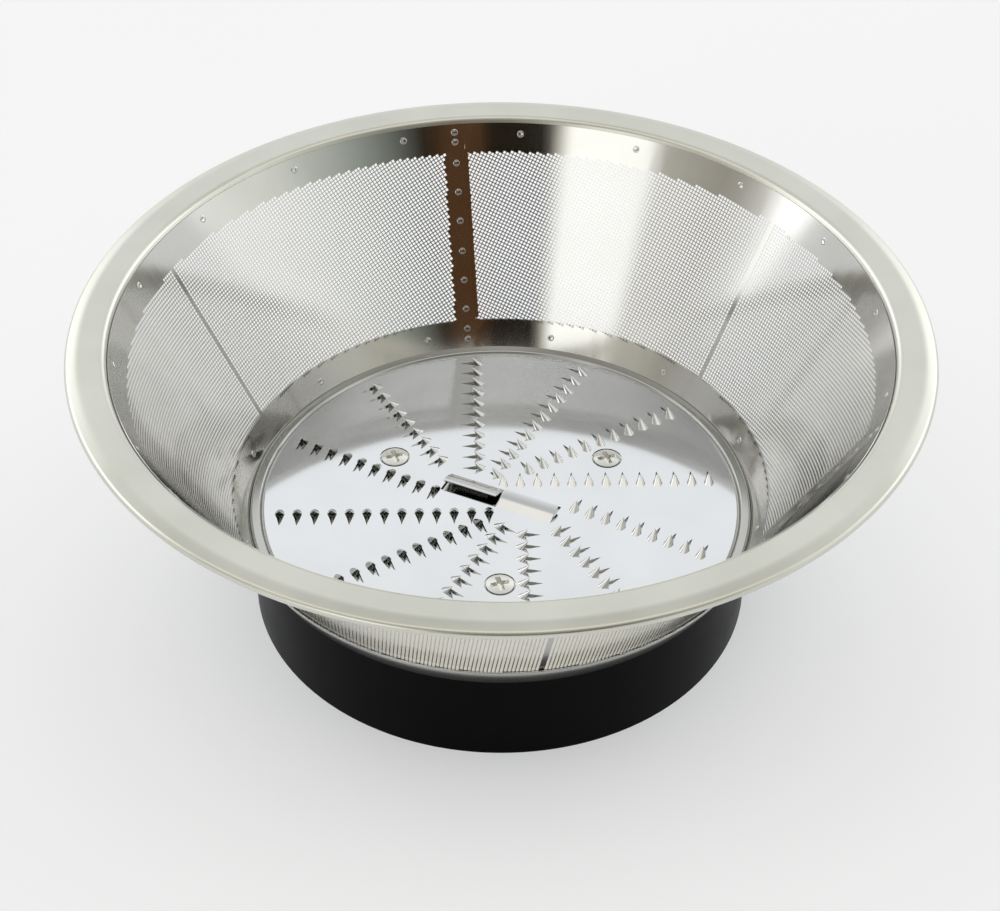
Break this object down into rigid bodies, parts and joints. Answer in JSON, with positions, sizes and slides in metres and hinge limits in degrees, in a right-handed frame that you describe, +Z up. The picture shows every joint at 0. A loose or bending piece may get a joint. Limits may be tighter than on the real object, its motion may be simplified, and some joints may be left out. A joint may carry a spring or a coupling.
{
  "type": "juicer mesh screen",
  "caption": "Conical juicer filter basket: micro-perforated steel wall with a rolled flat rim, a grater disc screwed into its floor and a black drive base with a keyed socket.",
  "frame": {"origin": "centre of the drive base's foot, on the basket's axis", "axes": "+Z up along the basket's axis; the picture was taken from the -Y side, with +X to its right"},
  "size_m": [0.18, 0.18, 0.0702],
  "materials": {
    "rim_steel": "satin stainless steel",
    "mesh_steel": "bright micro-perforated stainless steel",
    "disc_steel": "polished stainless steel",
    "screw_steel": "bright steel",
    "black_plastic": "black satin moulded plastic"
  },
  "bodies": {
    "root": {"rim_ring": "rim_steel", "mesh_panel_left": "mesh_steel", "mesh_panel_front": "mesh_steel", "mesh_panel_right": "mesh_steel", "base_pan": "rim_steel", "cutting_disc": "disc_steel", "disc_screws": "screw_steel", "drive_base": "black_plastic"}
  },
  "joints": []
}
